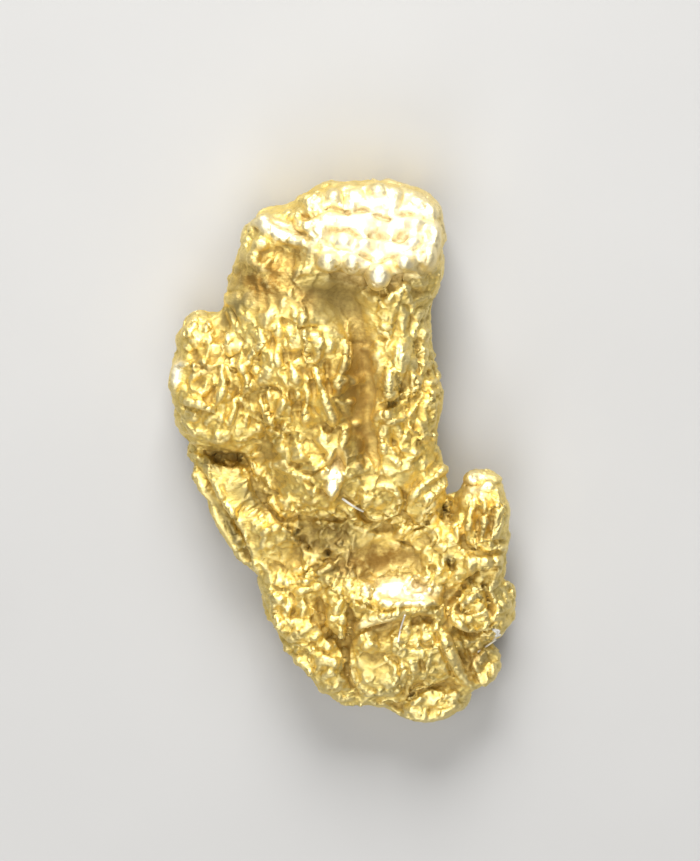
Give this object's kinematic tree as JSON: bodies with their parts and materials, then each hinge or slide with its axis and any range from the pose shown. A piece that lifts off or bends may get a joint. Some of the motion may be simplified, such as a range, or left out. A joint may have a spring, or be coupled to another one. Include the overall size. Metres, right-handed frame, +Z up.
{
  "type": "gold nugget",
  "caption": "Small water-worn natural gold nugget, about 10 mm long and 1 gram: one solid lump of fused lobes with a high crown, a side spur and knobs, hollows, creases and pits, lying on its worn underside.",
  "frame": {"origin": "on the surface that the nugget rests on, under the centre of its bounding box", "axes": "+Z up, +Y along the length towards the high crown, +X towards the side spur and knobs"},
  "size_m": [0.006, 0.01, 0.0024],
  "materials": {
    "gold": "crumpled native gold, worn bright on the high spots, matt and ochre-stained in the hollows"
  },
  "bodies": {
    "root": {"nugget": "gold"}
  },
  "joints": []
}
